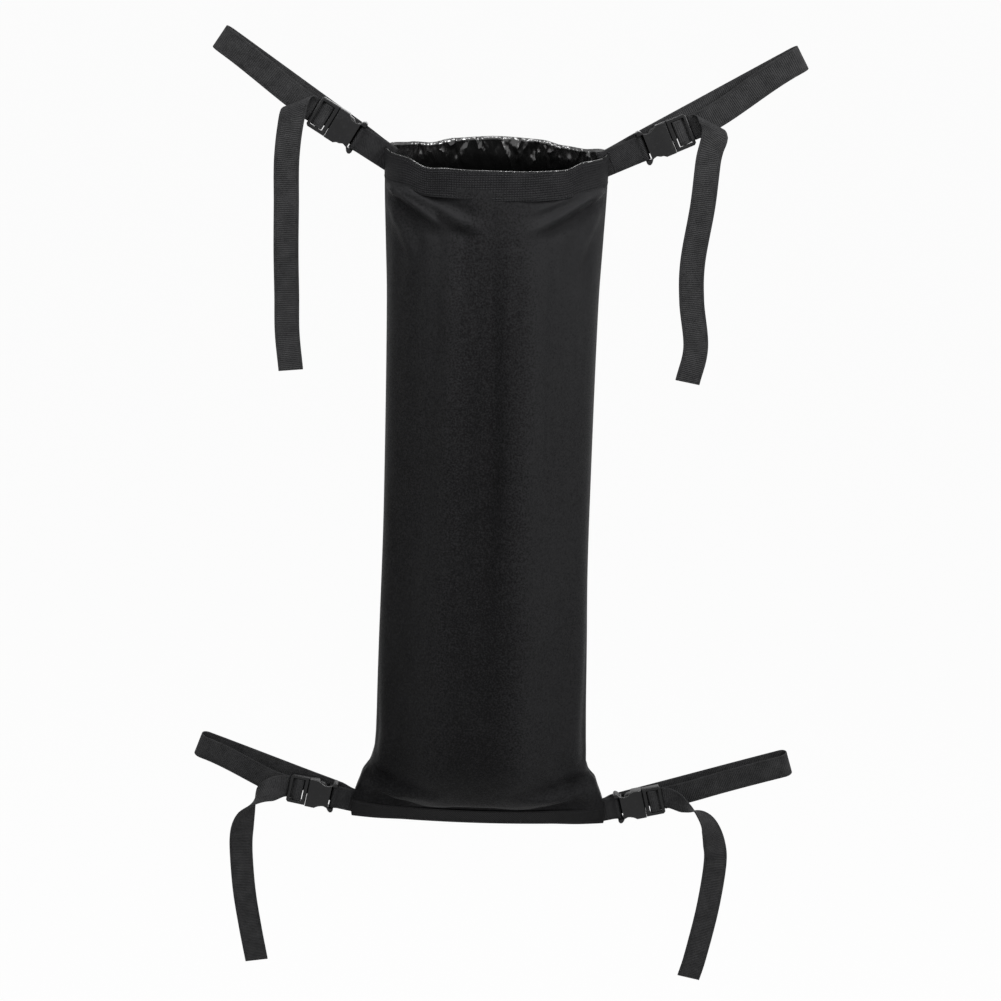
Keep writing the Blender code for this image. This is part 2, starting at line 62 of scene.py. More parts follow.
OUTLINE = (
    (0.00, MOUTH_HALF, MOUTH_DEEP),
    (0.07, MOUTH_HALF - 0.001, MOUTH_DEEP + 0.003),
    (0.20, WAIST_HALF, BODY_DEEP),
    (0.50, WAIST_HALF + 0.001, BODY_DEEP),
    (0.72, BELLY_HALF - 0.005, BODY_DEEP - 0.007),
    (0.86, BELLY_HALF, BELLY_DEEP),
    (0.93, FLAT_HALF - 0.010, BELLY_DEEP - 0.020),
    (0.97, FLAT_HALF - 0.002, BELLY_DEEP - 0.041),
    (1.00, FLAT_HALF, 0.0),
)

# How the pulled rim differs from a plain curve: share of the half width, then the front's and back's height
RIM_SHAPE = (
    (-1.00, 0.0, 0.0),
    (-0.80, 0.0018, -0.0030),
    (-0.61, -0.0034, -0.0055),
    (-0.41, -0.0010, -0.0020),
    (0.00, 0.0, 0.0),
    (0.41, -0.0010, -0.0010),
    (0.61, -0.0018, -0.0045),
    (0.78, 0.0028, -0.0050),
    (1.00, 0.0, 0.0),
)
# The hem is thin, and the cloth below it stands out by FLUSH to meet its face
HEM_THICK = 0.0009
FLUSH = 0.0010

# Webbing and buckles
WEB_WIDTH = 0.025
WEB = 0.0014
GAP = 0.0003
STACK = 3 * WEB + 3 * GAP
HIDDEN_END = 0.006
FOLD_RADIUS = 0.0075
TAIL_FOLD_RADIUS = 0.0045
TAIL_LEAD = 0.001
SKEW_RUN = 0.024
SOCKET_LENGTH = 0.031
SOCKET_THICK = 0.0105
BAR_RADIUS = 0.0019
LADDER_START = SOCKET_LENGTH + GAP
LADDER_END = LADDER_START + 0.0207
LADDER_BLOCK = 0.0043
MIDDLE_BAR = 0.0032
MIDDLE_BAR_TOP = 0.0018
INNER_SLOT = 0.0042
OUTER_SLOT = 0.0058
END_BAR_FLOOR = 0.0010
BUCKLE_FRONT = (WEB + GAP) / 2
STRAP_FRONT = BUCKLE_FRONT - 2 * WEB - GAP + WEB / 2
STRAP_BEHIND_BUCKLE = BUCKLE_FRONT - SOCKET_THICK / 2 - GAP - WEB / 2 - 0.0004
LOOP_BACK = STRAP_BEHIND_BUCKLE - 0.0022
OVER_MIDDLE_BAR = 0.0005
TURN_SET_BACK = 0.0004
FRONT = Vector((0, -1, 0))

# Each corner: its side, the height of the seam's anchor, the buckle's tilt, the tab's length, how far its
# loop reaches out and up from the anchor, the direction in which a folded tail leaves, and the tail's
# route as points from the anchor, each out, up and to the front, with its twist in degrees
CORNERS = {
    "upper_left": dict(
        side=-1,
        anchor_z=-0.010,
        tilt=31.0,
        tab=0.031,
        reach=(0.1632, 0.111),
        tail_angle=256.0,
        tail=(
            (0.0967, 0.0000, 0.0120, 0),
            (0.0972, -0.0500, 0.0135, 0),
            (0.0977, -0.0970, 0.0120, 0),
            (0.0972, -0.1400, 0.0105, 0),
            (0.0967, -0.1780, 0.0115, 0),
            (0.0927, -0.2160, 0.0145, 0),
        ),
    ),
    "upper_right": dict(
        side=1,
        anchor_z=-0.010,
        tilt=24.5,
        tab=0.036,
        reach=(0.1852, 0.108),
        tail_angle=-76.0,
        tail=(
            (0.0982, 0.0060, 0.0120, 0),
            (0.0952, -0.0380, 0.0135, 0),
            (0.0888, -0.0940, 0.0115, 0),
            (0.0902, -0.1340, 0.0105, 0),
            (0.0967, -0.1800, 0.0125, 0),
            (0.0902, -0.2160, 0.0145, 0),
        ),
    ),
    "lower_left": dict(
        side=-1,
        anchor_z=-BAG_HEIGHT + 0.0205,
        tilt=11.5,
        tab=0.020,
        reach=(0.1683, 0.0625),
        tail=(
            (0.0913, 0.0135, 0.0030, 40),
            (0.1038, 0.0055, 0.0035, 85),
            (0.1143, -0.0095, 0.0064, 130),
            (0.1198, -0.0315, 0.0103, 165),
            (0.1213, -0.0575, 0.0120, 180),
            (0.1183, -0.1045, 0.0125, 180),
            (0.1123, -0.1495, 0.0115, 180),
            (0.1053, -0.1925, 0.0105, 180),
        ),
    ),
    "lower_right": dict(
        side=1,
        anchor_z=-BAG_HEIGHT + 0.0185,
        tilt=14.0,
        tab=0.015,
        reach=(0.1989, 0.0635),
        tail=(
            (0.0889, 0.0125, 0.0030, 40),
            (0.1019, 0.0065, 0.0035, 85),
            (0.1139, -0.0065, 0.0064, 130),
            (0.1219, -0.0285, 0.0103, 165),
            (0.1249, -0.0545, 0.0120, 180),
            (0.1199, -0.1085, 0.0125, 180),
            (0.1099, -0.1685, 0.0115, 180),
            (0.1039, -0.1955, 0.0105, 180),
        ),
    ),
}

# Folds of the cloth, each with its ridge's line as x and z, its height and its half width: the sharp ones
# that the straps pull from the upper corners, and the soft ones
SHARP_FOLDS = (
    (((-0.106, -0.033), (-0.084, -0.047), (-0.058, -0.064), (-0.036, -0.076)), 0.0075, 0.0062),
    (((-0.092, -0.033), (-0.062, -0.050), (-0.030, -0.064), (-0.006, -0.070)), 0.0062, 0.0062),
    (((0.106, -0.033), (0.082, -0.046), (0.052, -0.062), (0.026, -0.074)), 0.0078, 0.0062),
    (((0.090, -0.031), (0.060, -0.044), (0.030, -0.056)), 0.0040, 0.0058),
)
SOFT_FOLDS = (
    (((-0.104, -0.050), (-0.090, -0.074), (-0.076, -0.110)), 0.0036, 0.0070),
    (((0.103, -0.050), (0.090, -0.076), (0.076, -0.120)), 0.0036, 0.0070),
    (((-0.130, -0.698), (-0.112, -0.664), (-0.098, -0.600)), 0.0040, 0.0100),
    (((0.130, -0.698), (0.114, -0.668), (0.100, -0.610)), 0.0040, 0.0100),
    (((-0.118, -0.694), (-0.080, -0.682), (-0.030, -0.680)), 0.0014, 0.0090),
    (((0.118, -0.694), (0.074, -0.684), (0.030, -0.681)), 0.0014, 0.0090),
    (((-0.050, -0.085), (-0.045, -0.300), (-0.048, -0.560), (-0.055, -0.900)), 0.0052, 0.0210),
    (((0.046, -0.080), (0.042, -0.300), (0.045, -0.560), (0.050, -0.900)), 0.0058, 0.0210),
)
FOLD_DIP = 0.45

# Unevenness of the cloth: height, waves to a metre across and down, and a shift of the noise
UNEVENNESS = ((0.0024, 14, 3.2, 0.0), (0.0010, 34, 15, 9.0), (0.0004, 90, 60, 3.0))
BOTTOM_CREASE = 0.0013


def smooth(value):
    value = min(max(value, 0.0), 1.0)
    return value * value * (3 - 2 * value)


# ---------------------------------------------------------------- shapes of the bag and the straps


def outline_at(share):
    """The bag's half width and half depth at a share of its height, smooth between the outline's rows."""
    last = len(OUTLINE) - 2
    row = max(i for i in range(last + 1) if OUTLINE[i][0] <= share or i == 0)
    start, end = OUTLINE[row], OUTLINE[row + 1]
    span = end[0] - start[0]
    part = (share - start[0]) / span
    result = []
    for column in (1, 2):
        slopes = []
        for near in (row, row + 1):
            low = OUTLINE[max(near - 1, 0)]
            high = OUTLINE[min(near + 1, last + 1)]
            slopes.append((high[column] - low[column]) / (high[0] - low[0]) * span)
        rise = end[column] - start[column]
        cubic = slopes[0] + slopes[1] - 2 * rise
        square = 3 * rise - 2 * slopes[0] - slopes[1]
        result.append(start[column] + part * (slopes[0] + part * (square + part * cubic)))
    return result


def anchor_point(corner):
    half_width = outline_at(-corner["anchor_z"] / BAG_HEIGHT)[0]
    return Vector((corner["side"] * half_width, 0.0, corner["anchor_z"]))


def seam_opening(x, z):
    """Half the gap between front and back cloth, which widens near a corner to take the straps."""
    nearest = min((Vector((x, 0, z)) - anchor_point(corner)).length for corner in CORNERS.values())
    held_open = 1 - smooth((nearest - 0.024) / 0.036)
    return GAP / 2 + (STACK - GAP) / 2 * held_open


def rim_shift(share_across, side):
    """The rim's own height at a share of its half width, from -1 at the left to 1 at the right."""
    column = 1 if side < 0 else 2
    for low, high in zip(RIM_SHAPE, RIM_SHAPE[1:]):
        if share_across <= high[0]:
            part = smooth((share_across - low[0]) / (high[0] - low[0]))
            return low[column] + (high[column] - low[column]) * part
    return 0.0


def panel_point(turn, share, side):
    """A point of the plain bag: turn goes from the left seam to the right, share from the rim down."""
    angle = math.pi * turn
    half_width, half_depth = outline_at(share)
    x = -half_width * math.cos(angle)
    rim = -FRONT_SAG if side < 0 else BACK_RISE
    bulge = math.sin(angle)
    z = -share * BAG_HEIGHT + rim * bulge * (1 - share) ** 3
    z += CORNER_LIFT * (1 - bulge * bulge) * share ** 3
    z += rim_shift(-math.cos(angle), side) * (1 - smooth(share * BAG_HEIGHT / 0.055))
    pointed = 1 + 0.25 * (1 - smooth(share / 0.15))
    depth = seam_opening(x, z) + FABRIC / 2 + half_depth * max(bulge, 0.0) ** pointed
    return Vector((x, side * depth, z))


def distance_to_line(x, z, line):
    """Nearest distance to a line of points, and how far along it that is, from 0 to 1."""
    best, along = 1.0, 0.0
    pieces = len(line) - 1
    for index in range(pieces):
        ax, az = line[index]
        bx, bz = line[index + 1]
        dx, dz = bx - ax, bz - az
        share = ((x - ax) * dx + (z - az) * dz) / (dx * dx + dz * dz)
        share = min(max(share, 0.0), 1.0)
        gap = math.hypot(x - ax - dx * share, z - az - dz * share)
        if gap < best:
            best, along = gap, (index + share) / pieces
    return best, along


def fold_height(place, side):
    """How far a point of the hanging cloth stands out of the plain tube, in metres."""
    height = 0.0
    for line, tall, wide in SHARP_FOLDS + SOFT_FOLDS:
        gap, along = distance_to_line(place.x, place.z, line)
        if gap < 4 * wide:
            ridge = math.exp(-((gap / wide) ** 2))
            dip = math.exp(-(((gap - 1.7 * wide) / wide) ** 2))
            taper = smooth(along / 0.12 + 0.35) * (1 - smooth((along - 0.55) / 0.45))
            height += tall * taper * (ridge - FOLD_DIP * dip)
    for tall, across, down, shift in UNEVENNESS:
        height += tall * noise.noise(Vector((place.x * across, place.y * across, place.z * down + shift)))
    drop = -place.z - rim_shift(min(max(place.x / MOUTH_HALF, -1.0), 1.0), side)
    rise = place.z + BAG_HEIGHT
    free = smooth((drop - 0.030) / 0.006) * smooth((rise - 0.021) / 0.008)
    middle = 1 - smooth((abs(place.x - 0.02) - 0.055) / 0.050)
    crease = -BOTTOM_CREASE * middle * math.exp(-(((rise - 0.0245) / 0.0060) ** 2))
    flush = FLUSH * smooth((drop - 0.028) / 0.003) * smooth((rise - 0.019) / 0.003)
    inset = outline_at(min(max(-place.z / BAG_HEIGHT, 0.0), 1.0))[0] - abs(place.x)
    return height * free * smooth(inset / 0.014) + crease + flush


# ---------------------------------------------------------------- meshes

RIBBON_COLUMNS = 8
MERGE = 0.00001


def only(piece):
    bpy.ops.object.select_all(action="DESELECT")
    piece.select_set(True)
    bpy.context.view_layer.objects.active = piece


def apply_modifiers(piece):
    only(piece)
    for modifier in list(piece.modifiers):
        bpy.ops.object.modifier_apply(modifier=modifier.name)


def add_modifier(piece, kind, **settings):
    modifier = piece.modifiers.new(kind.lower(), kind)
    for name, value in settings.items():
        setattr(modifier, name, value)
    return modifier


def woven_sheet(name, columns, rows, place, lay, materials):
    """A grid whose points come from two shares, with its flat length and width in metres as its UV map."""
    bpy.ops.object.select_all(action="DESELECT")
    bpy.ops.mesh.primitive_grid_add(x_subdivisions=columns, y_subdivisions=rows, size=1.0)
    piece = bpy.context.object
    piece.name = name
    mesh = piece.data
    shares = [(v.co.x + 0.5, v.co.y + 0.5) for v in mesh.vertices]
    for vertex, (across, down) in zip(mesh.vertices, shares):
        vertex.co = place(across, down)
    layer = mesh.uv_layers.active or mesh.uv_layers.new(name="weave")
    for loop in mesh.loops:
        layer.data[loop.index].uv = lay(*shares[loop.vertex_index])
    mesh.shade_smooth()
    for material in materials:
        mesh.materials.append(material)
    return piece


def ribbon(name, points, rows, material, thickness=WEB):
    """Webbing along a centre line, its rows across it, with soft edges and the length as its U."""
    lengths = [0.0]
    for first, second in zip(points, points[1:]):
        lengths.append(lengths[-1] + (second - first).length)
    last = len(points) - 1

    def place(along, across):
        index = round(along * last)
        return points[index] + rows[index] * WEB_WIDTH * (across - 0.5)

    def lay(along, across):
        return (lengths[round(along * last)], across * WEB_WIDTH)

    piece = woven_sheet(name, last, RIBBON_COLUMNS, place, lay, [material])
    add_modifier(piece, "SOLIDIFY", thickness=thickness, offset=0)
    soft_edge = thickness * 0.32
    add_modifier(piece, "BEVEL", width=soft_edge, segments=2, limit_method="ANGLE", angle_limit=1.0)
    apply_modifiers(piece)
    piece.data.shade_smooth()
    return piece


def smooth_line(points, rows, pieces):
    """More points on a smooth curve through a ribbon's points, and rows between its rows."""
    new_points, new_rows = [points[0]], [rows[0]]
    last = len(points) - 1
    for index in range(last):
        before = points[max(index - 1, 0)]
        low, high = points[index], points[index + 1]
        after = points[min(index + 2, last)]
        span = (high - low).length
        low_out = (high - before) * (span / max((high - low).length + (low - before).length, 1e-9))
        high_in = (after - low) * (span / max((high - low).length + (after - high).length, 1e-9))
        for step in range(1, pieces + 1):
            share = step / pieces
            new_points.append(bezier(low, low + low_out / 3, high - high_in / 3, high, share))
            blend = rows[index].lerp(rows[index + 1], share)
            size = rows[index].length * (1 - share) + rows[index + 1].length * share
            new_rows.append(blend.normalized() * size)
    return new_points, new_rows


# ---------------------------------------------------------------- strap routes


def corner_frame(place, outward):
    across = FRONT.cross(outward)
    turned = Matrix((outward, across, FRONT)).transposed().to_4x4()
    return Matrix.Translation(place) @ turned


def direction(degrees):
    return Vector((math.cos(math.radians(degrees)), 0, math.sin(math.radians(degrees))))


def buckle_frame(corner):
    angle = corner["tilt"] if corner["side"] > 0 else 180 - corner["tilt"]
    outward = direction(angle)
    place = anchor_point(corner) + outward * corner["tab"] + FRONT * BUCKLE_FRONT
    return corner_frame(place, outward), outward


def back_run(corner):
    """The strap behind the buckle, from inside the seam to where the loop turns."""
    start = anchor_point(corner)
    out, up = corner["reach"]
    outward = Vector((corner["side"] * out, 0, up)).normalized()
    across = FRONT.cross(outward)
    reach = math.hypot(out, up) - FOLD_RADIUS - WEB / 2
    leave = WEB_WIDTH / 2 * abs(outward.z / outward.x) + 0.001
    clear = max(corner["tab"] - 0.001, leave + 0.007)
    stops = [-HIDDEN_END, 0.0, leave]
    stops += [leave + (clear - leave) * share for share in (0.25, 0.5, 0.75, 1.0)]
    stops += [clear + (reach - GAP - clear) * share for share in (0.25, 0.5, 0.75, 1.0)]
    points = []
    for stop in stops:
        front = STRAP_FRONT + (STRAP_BEHIND_BUCKLE - STRAP_FRONT) * smooth((stop - leave) / (clear - leave))
        front += (LOOP_BACK - STRAP_BEHIND_BUCKLE) * smooth((stop - clear) / (reach - clear))
        points.append(start + outward * stop + FRONT * front)
    return points, [across] * len(points), start, outward, reach


def bezier(first, first_handle, last_handle, last, share):
    rest = 1 - share
    return (
        first * rest ** 3
        + first_handle * 3 * rest * rest * share
        + last_handle * 3 * rest * share * share
        + last * share ** 3
    )


def ladder_profile():
    """The strap's way through the ladder's bars, as distance out and height to the front."""
    middle = LADDER_START + LADDER_BLOCK + INNER_SLOT
    loaded = END_BAR_FLOOR - 2 * GAP - 1.5 * WEB
    upper = MIDDLE_BAR_TOP + OVER_MIDDLE_BAR + WEB / 2
    radius = (upper - loaded) / 2
    turn_at = middle - TURN_SET_BACK
    out_at = middle + MIDDLE_BAR + OUTER_SLOT
    points = [(out_at + 0.0030, loaded), (turn_at + 0.0040, loaded)]
    for step in range(9):
        angle = -math.pi / 2 - math.pi * step / 8
        points.append((turn_at + radius * math.cos(angle), loaded + radius + radius * math.sin(angle)))
    leave = middle + MIDDLE_BAR - 0.0008
    arrive = out_at - 0.0006
    exit_height = END_BAR_FLOOR - GAP - WEB / 2
    for step in range(7):
        share = step / 6
        height = upper + (exit_height - upper) * smooth(share)
        points.append((leave + (arrive - leave) * share, height))
    points.append((LADDER_END + 0.0004, exit_height))
    return points


def front_run(corner):
    """The strap in front, round the loop's end, back to the buckle and through the ladder."""
    _, _, start, outward, reach = back_run(corner)
    place, buckle_out = buckle_frame(corner)
    across = FRONT.cross(outward)
    buckle_across = FRONT.cross(buckle_out)
    points, rows = [], []
    centre = LOOP_BACK + FOLD_RADIUS
    for step in range(11):
        angle = math.pi * step / 10
        along = reach + FOLD_RADIUS * math.sin(angle)
        points.append(start + outward * along + FRONT * (centre - FOLD_RADIUS * math.cos(angle)))
        rows.append(across)
    profile = ladder_profile()
    turn_end = points[-1].copy()
    mouth = place @ Vector((profile[0][0] + 0.004, 0, profile[0][1]))
    pull = (turn_end - mouth).length / 3
    for step in range(1, 13):
        share = step / 12
        here = bezier(turn_end, turn_end - outward * pull, mouth + buckle_out * pull, mouth, share)
        ahead = bezier(turn_end, turn_end - outward * pull, mouth + buckle_out * pull, mouth, share + 0.01)
        travel = here - ahead
        travel.y = 0
        here.y = turn_end.y + (mouth.y - turn_end.y) * smooth(share / 0.7)
        points.append(here)
        rows.append(FRONT.cross(travel.normalized()))
    for along, height in profile:
        points.append(place @ Vector((along, 0, height)))
        rows.append(buckle_across)
    return points, rows


def slanting_fold(start, outward, down, sign):
    """The webbing turned over a slanting line, from its way out to its way down."""
    axis = (outward + down).normalized()
    over = (outward - down).normalized()
    along_axis = outward.dot(axis)
    round_axis = outward.dot(over)
    lead = WEB_WIDTH / 2 * along_axis / round_axis + TAIL_LEAD
    points, rows = [start], [FRONT.cross(outward)]
    turn_start = start + outward * lead
    for step in range(9):
        angle = math.pi * step / 8
        place = axis * (along_axis / round_axis * TAIL_FOLD_RADIUS * angle)
        place += over * (TAIL_FOLD_RADIUS * math.sin(angle))
        place += FRONT * (TAIL_FOLD_RADIUS * (1 - math.cos(angle)))
        points.append(turn_start + place)
        rows.append(axis * (sign / round_axis))
    return points, rows


def tail_run(corner):
    """The tail's centre line and its rows, from the ladder's end bar to its cut end."""
    place, outward = buckle_frame(corner)
    along, height = ladder_profile()[-1]
    start = place @ Vector((along + GAP, 0, height))
    seam = anchor_point(corner)
    route = []
    for out, up, front, degrees in corner["tail"]:
        twist = math.radians(degrees)
        front += WEB_WIDTH / 2 * math.sin(twist)
        route.append((seam + Vector((corner["side"] * out, -front, up)), twist))
    if "tail_angle" in corner:
        down = direction(corner["tail_angle"])
        points, rows = slanting_fold(start, outward, down, -corner["side"])
        route.insert(0, (points[-1], 0.0))
        leaving, facing = down, -1.0
        skew = -corner["side"] * (outward + down).length / (outward - down).length
    else:
        points, rows = [start], [FRONT.cross(outward)]
        lead = start + outward * TAIL_LEAD
        points.append(lead)
        rows.append(rows[0])
        route.insert(0, (lead, 0.0))
        leaving, facing = outward, 1.0
        skew = 0.0
    gone = 0.0
    tangents = [leaving * (route[1][0] - route[0][0]).length]
    for index in range(1, len(route) - 1):
        tangents.append((route[index + 1][0] - route[index - 1][0]) / 2)
    tangents.append(route[-1][0] - route[-2][0])
    for index in range(len(route) - 1):
        (low, twist_low), (high, twist_high) = route[index], route[index + 1]
        low_handle = low + tangents[index] / 3
        high_handle = high - tangents[index + 1] / 3
        pieces = max(5, round((high - low).length / 0.003))
        for step in range(1, pieces + 1):
            share = step / pieces
            here = bezier(low, low_handle, high_handle, high, share)
            travel = here - bezier(low, low_handle, high_handle, high, share - 0.01)
            twist = twist_low + (twist_high - twist_low) * share
            flat = FRONT.cross(travel).normalized() * facing
            row = flat * math.cos(twist) + FRONT * math.sin(twist)
            travel.normalize()
            row -= travel * row.dot(travel)
            gone += (here - points[-1]).length
            points.append(here)
            rows.append(row.normalized() + travel * skew * (1 - smooth(gone / SKEW_RUN)))
    return points, rows


def tab_run(corner):
    """The doubled tab's line: out along the front, round the socket's bar and back behind itself."""
    place, outward = buckle_frame(corner)
    layer = WEB / 2 + 0.00005
    ring = BAR_RADIUS + GAP + WEB / 2
    inner = -corner["tab"] - HIDDEN_END
    profile = []
    for step in range(9):
        profile.append((inner + (BAR_RADIUS - 2 * ring - inner) * step / 8, layer))
    for step in range(13):
        angle = math.radians(140 - 280 * step / 12)
        profile.append((BAR_RADIUS + ring * math.cos(angle), ring * math.sin(angle)))
    for step in range(9):
        profile.append((BAR_RADIUS - 2 * ring + (inner - BAR_RADIUS + 2 * ring) * step / 8, -layer))
    points = [place @ Vector((along, 0, height)) for along, height in profile]
    return points, [FRONT.cross(outward)] * len(points)


# ---------------------------------------------------------------- finishes

CLOTH_PITCH = 0.0012
YARN_PITCH = 0.0012
SELVEDGE = 0.0026


class Wire:
    """A value in a finish. Python's operators on it add the Math nodes."""

    def __init__(self, finish, socket):
        self.finish, self.socket = finish, socket

    def maths(self, operation, first, second=0.0):
        return self.finish.add("ShaderNodeMath", {"operation": operation}, {0: first, 1: second})

    def __add__(self, other):
        return self.maths("ADD", self, other)

    def __sub__(self, other):
        return self.maths("SUBTRACT", self, other)

    def __rsub__(self, other):
        return self.maths("SUBTRACT", other, self)

    def __mul__(self, other):
        return self.maths("MULTIPLY", self, other)

    def __abs__(self):
        return self.maths("ABSOLUTE", self)

    __radd__, __rmul__ = __add__, __mul__

    def wave(self, pitch):
        return self.maths("SINE", self * (2 * math.pi / pitch))

    def over(self, level, soft):
        """0 below a level and 1 above it, with a soft step."""
        settings = {"interpolation_type": "SMOOTHSTEP"}
        return self.finish.add("ShaderNodeMapRange", settings, {0: self, 1: level - soft, 2: level + soft})


class Finish:
    """A material with one principled shader, whose constants are set by the sockets' names."""

    def __init__(self, name, **constants):
        self.material = bpy.data.materials.new(name)
        self.material.use_nodes = True
        self.tree = self.material.node_tree
        self.tree.nodes.clear()
        self.shader = self.tree.nodes.new("ShaderNodeBsdfPrincipled")
        output = self.tree.nodes.new("ShaderNodeOutputMaterial")
        self.tree.links.new(self.shader.outputs["BSDF"], output.inputs["Surface"])
        for socket, value in constants.items():
            self.shader.inputs[socket.replace("_", " ")].default_value = value

    def add(self, kind, settings=None, values=None, output=0):
        node = self.tree.nodes.new(kind)
        for name, value in (settings or {}).items():
            setattr(node, name, value)
        for socket, value in (values or {}).items():
            self.join(value, node.inputs[socket])
        return Wire(self, node.outputs[output])

    def join(self, value, socket):
        if isinstance(value, Wire):
            self.tree.links.new(value.socket, socket)
        else:
            socket.default_value = value

    def place(self, coordinates="Object"):
        return self.add("ShaderNodeTexCoord", output=coordinates)

    def along_and_across(self):
        spot = self.place("UV")
        along = self.add("ShaderNodeSeparateXYZ", values={0: spot}, output="X")
        across = self.add("ShaderNodeSeparateXYZ", values={0: spot}, output="Y")
        return along, across

    def speckle(self, scale, detail=3.0, spot=None, rough=0.55):
        values = {"Vector": spot or self.place(), "Scale": scale, "Detail": detail, "Roughness": rough}
        return self.add("ShaderNodeTexNoise", values=values)

    def tint(self, share, dark, light):
        settings = {"data_type": "RGBA"}
        return self.add("ShaderNodeMix", settings, {0: share, 6: (*dark, 1), 7: (*light, 1)}, output=2)

    def raise_by(self, height, distance, strength=1.0):
        values = {"Height": height, "Distance": distance, "Strength": strength}
        self.shader_in("Normal", self.add("ShaderNodeBump", values=values))

    def shader_in(self, name, value):
        self.join(value, self.shader.inputs[name])


def fine_ridge(x, z, start, end, wide):
    """A narrow ridge along a straight line of the cloth, and the strip below it, each from 0 to 1, used as
    masks for a painted highlight and painted shade.
    """
    reach = math.hypot(end[0] - start[0], end[1] - start[1])
    run, rise = (end[0] - start[0]) / reach, (end[1] - start[1]) / reach
    up = 1.0 if run > 0 else -1.0
    along = ((x - start[0]) * run + (z - start[1]) * rise) * (1 / reach)
    above = ((z - start[1]) * run - (x - start[0]) * rise) * up
    ends = along.over(0.10, 0.10) * (1 - along.over(0.78, 0.22))
    crest = (1 - abs(above).over(wide / 2, wide / 2)) * ends
    below = (1 - abs(above + 1.5 * wide).over(wide / 2, wide / 2)) * ends
    return crest, below


def coated_cloth():
    """Coated woven cloth, with painted highlights near the mouth, on its long ridges and over its right side,
    painted shade towards the bottom, and the sharp folds drawn fine, each with a painted highlight on its
    crest and painted shade below it.
    """
    finish = Finish("coated_cloth", Specular_IOR_Level=0.05)
    along, across = finish.along_and_across()
    x, y, z = (finish.add("ShaderNodeSeparateXYZ", values={0: finish.place()}, output=name) for name in "XYZ")
    threads = along.wave(CLOTH_PITCH) * across.wave(CLOTH_PITCH)
    slubs = finish.speckle(540, 2.0, rough=0.7)
    clouds = finish.speckle(7.5, 4.0)
    lint = finish.speckle(700, 1.0).over(0.72, 0.03)
    # front: the front face, the only one given the painted light and the fold relief below
    front = (y * -1).over(0.0, 0.004)
    # Painted highlight: lighter colour over the right side and on a band over the left ridge, with a little
    # painted shade everywhere else
    painted_sheen = x.over(0.030, 0.024) * 0.48 + (x.over(-0.072, 0.014) - x.over(-0.034, 0.016)) * 0.24 - 0.12
    # low: painted shade, the cloth's colour darker towards the bottom of the bag
    low = (z * -1).over(0.46, 0.26)
    # folds: for each sharp fold, a painted highlight on its crest and painted shade on the strip below it,
    # used in the colour and also as the folds' bump
    folds = 0.0
    for line, tall, wide in SHARP_FOLDS:
        crest, below = fine_ridge(x, z, line[0], line[-1], wide * 0.62)
        folds = folds + (crest - below * 0.7) * (tall / SHARP_FOLDS[0][1])
    share = 0.42 + (clouds - 0.5) * 0.5 + threads * 0.16 + (slubs - 0.5) * 2.9 + lint * 0.35
    # high: painted light, the cloth's colour lighter on the upper part towards the mouth
    high = z.over(-0.14, 0.10)
    # The painted highlights, painted fold shading and painted top light go on the front; the painted shade
    # towards the bottom goes all round
    share = share + (painted_sheen + folds * 0.5 + high * 0.32) * front - low * 0.11
    finish.shader_in("Base Color", finish.tint(share, (0.0030, 0.0030, 0.0033), (0.0165, 0.0165, 0.0174)))
    finish.shader_in("Roughness", 0.42 + clouds * 0.10 - threads * 0.05)
    crinkle = finish.speckle(60, 4.0)
    finish.raise_by(threads * 0.30 + slubs * 0.5 + crinkle * 1.3 + folds * front * 2.2, 0.0006)
    return finish.material


def glossy_lining():
    finish = Finish("glossy_lining", Specular_IOR_Level=1.0)
    clouds = finish.speckle(12, 4.0)
    stroke = {"Vector": finish.place(), "Rotation": (0.0, 0.45, 0.0), "Scale": (1.1, 1.0, 0.52)}
    spot = finish.add("ShaderNodeMapping", values=stroke)
    crinkle = finish.speckle(60, 2.0, spot, rough=0.45)
    ridges = 1 - abs(crinkle * 2 - 1)
    height = finish.add("ShaderNodeSeparateXYZ", values={0: finish.place()}, output="Z")
    near_rim = height.over(-0.026, 0.014)
    finish.shader_in("Base Color", finish.tint(clouds, (0.002, 0.002, 0.002), (0.006, 0.006, 0.006)))
    finish.shader_in("Roughness", 0.13 + clouds * 0.12)
    finish.raise_by((ridges * 1.2 + crinkle) * (0.10 + near_rim * 0.90), 0.0044)
    return finish.material


def ribbed_webbing(name, dark, light, pitch=0.0019, slant=0.0):
    finish = Finish(name, Specular_IOR_Level=0.10)
    along, across = finish.along_and_across()
    rib = (along + across * slant).wave(pitch)
    yarn = across.wave(YARN_PITCH)
    from_middle = abs(across - WEB_WIDTH / 2)
    selvedge_from = WEB_WIDTH / 2 - SELVEDGE
    selvedge = from_middle.over(selvedge_from, 0.0003)
    groove = 1 - abs(from_middle - selvedge_from).over(0.0005, 0.0003)
    edge_yarn = (along + from_middle * 0.8).wave(0.0010)
    run = finish.add("ShaderNodeCombineXYZ", values={0: along, 1: across * 0.02})
    slack = finish.speckle(130, 2.0, run).over(0.68, 0.04)
    uneven = finish.speckle(95, 3.0)
    fuzz = finish.speckle(700, 2.0)
    body = rib * 0.62 + rib * yarn * 0.22 + slack * 0.5
    height = body * (1 - selvedge) + selvedge * (edge_yarn * 0.3 - 0.1) - groove * 0.4
    share = 0.42 + height * 0.20 + (uneven - 0.5) * 0.9 + (fuzz - 0.5) * 0.8
    finish.shader_in("Base Color", finish.tint(share, dark, light))
    finish.shader_in("Roughness", 0.62 + uneven * 0.1 - height * 0.06)
    finish.raise_by(height + fuzz * 0.35, 0.00030)
    return finish.material


